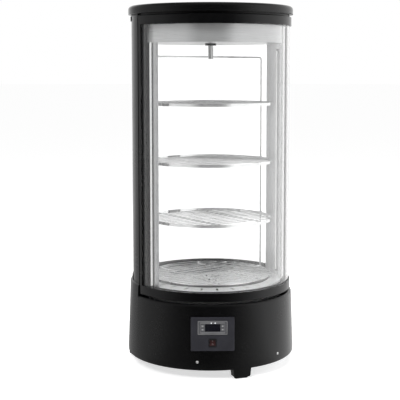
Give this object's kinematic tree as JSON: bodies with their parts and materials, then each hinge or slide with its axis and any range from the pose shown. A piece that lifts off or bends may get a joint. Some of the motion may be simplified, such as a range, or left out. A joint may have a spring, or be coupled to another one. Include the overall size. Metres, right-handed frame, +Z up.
{
  "type": "countertop display case",
  "caption": "Round glass countertop display case with a curved hinged door, wire shelves on a turning rack, and a base with a control panel.",
  "frame": {"origin": "centre of the base on the floor, under the three feet", "axes": "+Z up, the control panel faces -Y, +X to the right of someone who faces the panel"},
  "size_m": [0.503, 0.503, 1.066],
  "materials": {
    "black_abs": "semi-gloss moulded",
    "black_rubber": "matte",
    "galvanised_steel": "zinc plated",
    "dark_screw": "blackened",
    "stainless": "fine brushed",
    "clear_glass": "polished clear",
    "grey_spacer": "satin anodised",
    "black_frame": "powder coated",
    "black_rail": "semi-gloss moulded",
    "black_column": "semi-gloss",
    "light_diffuser": "opal diffuser",
    "hinge_steel": "plain steel",
    "white_nylon": "natural nylon",
    "black_nylon": "matte moulded",
    "motor_metal": "zinc die casting",
    "foam": "skinned foam",
    "fin_aluminium": "mill finish",
    "fan_plastic": "matte moulded",
    "compressor_black": "gloss enamel",
    "panel_grey": "satin moulded",
    "controller_grey": "satin moulded",
    "dark_window": "smoked window",
    "red_rocker": "dark translucent red",
    "key_grey": "satin moulded",
    "bright_steel": "polished",
    "chrome_wire": "bright plated"
  },
  "bodies": {
    "cabinet": {"base_front_shell": "black_abs", "base_rear_shell": "black_abs", "foot_pads": "black_rubber", "bottom_pan": "galvanised_steel", "case_screws": "dark_screw", "cabinet_floor": "stainless", "rear_glass_outer": "clear_glass", "rear_glass_inner": "clear_glass", "rear_glass_spacer": "grey_spacer", "rear_bottom_channel": "black_frame", "rear_top_channel": "black_frame", "top_frame": "black_frame", "top_cap": "black_abs", "light_bars": "light_diffuser", "ceiling_drum": "stainless", "hinge_plates": "hinge_steel", "hinge_pins": "hinge_steel", "shaft_bearing": "black_nylon", "motor_bracket": "galvanised_steel", "gear_motor": "motor_metal", "insulation_tub": "foam", "condenser": "fin_aluminium", "condenser_shroud": "galvanised_steel", "evaporator": "fin_aluminium", "circulation_fan_frame": "black_nylon", "compressor": "compressor_black", "compressor_mounts": "black_rubber", "power_inlet": "black_nylon", "right_column": "black_column", "left_column": "black_column", "right_lining": "stainless", "left_lining": "stainless", "control_panel": "panel_grey", "controller_case": "controller_grey", "controller_window": "dark_window", "switch_housing": "black_nylon"},
    "door": {"door_bottom_rail": "black_rail", "door_top_rail": "black_rail", "closing_stile": "black_rail", "hinge_stile": "black_rail", "door_glass_outer": "clear_glass", "door_glass_inner": "clear_glass", "door_glass_spacer": "grey_spacer", "door_gasket": "black_rubber", "hinge_bushes": "white_nylon"},
    "rack": {"rack_shaft": "bright_steel", "rack_screw": "dark_screw", "rack_frame": "chrome_wire", "shelf_clips": "chrome_wire", "shelf_1": "chrome_wire", "shelf_2": "chrome_wire", "shelf_3": "chrome_wire", "shelf_4": "chrome_wire"},
    "condenser_fan": {"condenser_fan": "fan_plastic"},
    "circulation_fan": {"circulation_fan": "fan_plastic"},
    "power_switch": {"power_switch": "red_rocker"},
    "key_set": {"key_set": "key_grey"},
    "key_light": {"key_light": "key_grey"},
    "key_up": {"key_up": "key_grey"},
    "key_down": {"key_down": "key_grey"}
  },
  "joints": [
    {"name": "door_hinge", "type": "hinge", "parent": "cabinet", "child": "door", "pos_m": [0.22992, 0.03778, 0.6285], "axis": [0, 0, 1], "range_deg": [0, 110]},
    {"name": "rack_spin", "type": "hinge", "parent": "cabinet", "child": "rack", "pos_m": [0, 0, 0.9], "axis": [0, 0, 1], "continuous": true},
    {"name": "condenser_fan_spin", "type": "hinge", "parent": "cabinet", "child": "condenser_fan", "pos_m": [-0.04652, 0.1278, 0.08], "axis": [-0.342, 0.9397, 0], "continuous": true},
    {"name": "circulation_fan_spin", "type": "hinge", "parent": "cabinet", "child": "circulation_fan", "pos_m": [0, 0, 0.233], "axis": [0, 0, 1], "continuous": true},
    {"name": "power_rocker", "type": "hinge", "parent": "cabinet", "child": "power_switch", "pos_m": [0, -0.24529, 0.10786], "axis": [1, 0, 0], "range_deg": [0, 16]},
    {"name": "key_set_press", "type": "slide", "parent": "cabinet", "child": "key_set", "axis": [0, 0.9994, -0.0351], "range_m": [0, 0.0008], "stiffness_N_per_m": 300},
    {"name": "key_light_press", "type": "slide", "parent": "cabinet", "child": "key_light", "axis": [0, 0.9994, -0.0351], "range_m": [0, 0.0008], "stiffness_N_per_m": 300},
    {"name": "key_up_press", "type": "slide", "parent": "cabinet", "child": "key_up", "axis": [0, 0.9994, -0.0351], "range_m": [0, 0.0008], "stiffness_N_per_m": 300},
    {"name": "key_down_press", "type": "slide", "parent": "cabinet", "child": "key_down", "axis": [0, 0.9994, -0.0351], "range_m": [0, 0.0008], "stiffness_N_per_m": 300}
  ]
}
